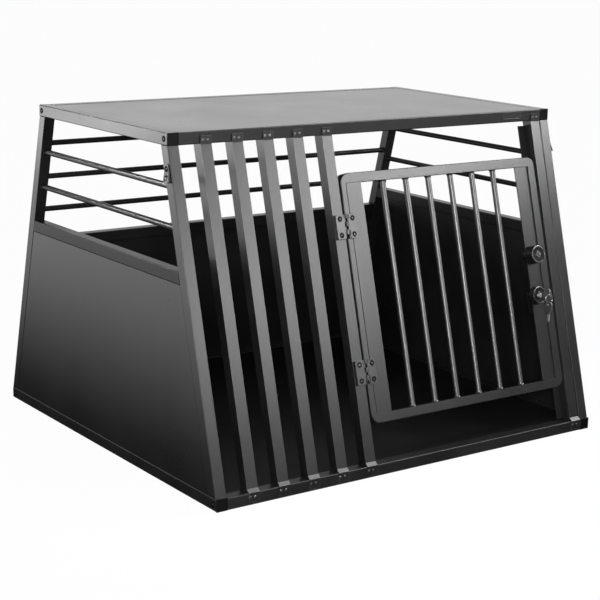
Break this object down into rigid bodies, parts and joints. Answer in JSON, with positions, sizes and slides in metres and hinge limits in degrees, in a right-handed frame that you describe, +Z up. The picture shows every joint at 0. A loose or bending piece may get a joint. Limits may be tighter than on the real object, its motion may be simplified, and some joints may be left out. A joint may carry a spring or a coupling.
{
  "type": "car dog crate",
  "caption": "Metal car crate for a dog: square-tube frame, leaning front and rear walls, sheet panels, round bars and a hinged barred door with key locks.",
  "frame": {"origin": "Middle of the footprint, on the plane of the base rails' undersides.", "axes": "+X to the right as seen by someone who faces the door, +Y from the door wall to the rear wall, +Z up."},
  "size_m": [1.0066, 0.89, 0.7],
  "materials": {
    "frame_paint": "black powder coat, satin",
    "panel_paint": "black powder coat on sheet, satin",
    "cap_plastic": "black moulded plastic",
    "stop_rubber": "matte black",
    "hinge_metal": "cast metal with a black satin coat",
    "lock_shell": "black shell with a bare metal rim",
    "key_metal": "nickel-plated"
  },
  "bodies": {
    "crate": {"base_front_rail": "frame_paint", "base_rear_rail": "frame_paint", "base_left_rail": "frame_paint", "base_right_rail": "frame_paint", "roof_front_rail": "frame_paint", "roof_rear_rail": "frame_paint", "roof_left_rail": "frame_paint", "roof_right_rail": "frame_paint", "base_left_cap": "cap_plastic", "base_right_cap": "cap_plastic", "roof_left_cap": "cap_plastic", "roof_right_cap": "cap_plastic", "floor_panel": "panel_paint", "roof_panel": "panel_paint", "left_panel": "panel_paint", "right_panel": "panel_paint", "rear_panel": "panel_paint", "front_left_post": "frame_paint", "front_right_post": "frame_paint", "rear_left_post": "frame_paint", "rear_right_post": "frame_paint", "left_mid_rail": "frame_paint", "right_mid_rail": "frame_paint", "rear_mid_rail": "frame_paint", "left_side_bar_1": "frame_paint", "left_side_bar_2": "frame_paint", "right_side_bar_1": "frame_paint", "right_side_bar_2": "frame_paint", "rear_bar_1": "frame_paint", "rear_bar_2": "frame_paint", "rear_bar_3": "frame_paint", "front_bar_1": "frame_paint", "front_bar_2": "frame_paint", "front_bar_3": "frame_paint", "front_bar_4": "frame_paint", "hinge_post": "frame_paint", "lock_post": "frame_paint", "door_stop": "stop_rubber", "left_bracket": "frame_paint", "right_bracket": "frame_paint", "upper_post_leaf": "hinge_metal", "lower_post_leaf": "hinge_metal"},
    "door": {"door_frame": "frame_paint", "hinge_stile": "frame_paint", "lock_stile": "frame_paint", "door_bar_1": "frame_paint", "door_bar_2": "frame_paint", "door_bar_3": "frame_paint", "door_bar_4": "frame_paint", "door_bar_5": "frame_paint", "door_bar_6": "frame_paint", "upper_door_leaf": "hinge_metal", "lower_door_leaf": "hinge_metal", "upper_rosette": "lock_shell", "lower_rosette": "lock_shell"},
    "upper_lock": {"upper_knob": "lock_shell"},
    "lower_lock": {"lower_knob": "lock_shell"},
    "key": {"key": "key_metal"},
    "ring": {"key_ring": "key_metal"},
    "spare_key": {"spare_key": "key_metal"}
  },
  "joints": [
    {"name": "door_swing", "type": "hinge", "parent": "crate", "child": "door", "pos_m": [-0.10675, -0.35614, 0.35227], "axis": [0, -0.2676, -0.9635], "range_deg": [0, 170]},
    {"name": "upper_lock_turn", "type": "hinge", "parent": "door", "child": "upper_lock", "pos_m": [0.3937, -0.33698, 0.38951], "axis": [0, -0.9635, 0.2676], "range_deg": [0, 90]},
    {"name": "lower_lock_turn", "type": "hinge", "parent": "door", "child": "lower_lock", "pos_m": [0.3937, -0.36106, 0.30279], "axis": [0, -0.9635, 0.2676], "range_deg": [0, 90]},
    {"name": "key_pull", "type": "slide", "parent": "lower_lock", "child": "key", "axis": [0, -0.9635, 0.2676], "range_m": [0, 0.0115]},
    {"name": "ring_swing", "type": "hinge", "parent": "key", "child": "ring", "pos_m": [0.3937, -0.39729, 0.31145], "axis": [-1, 0, 0], "range_deg": [0, 60]},
    {"name": "spare_key_swing", "type": "hinge", "parent": "ring", "child": "spare_key", "pos_m": [0.3937, -0.39729, 0.29145], "axis": [-1, 0, 0], "range_deg": [0, 60]}
  ]
}
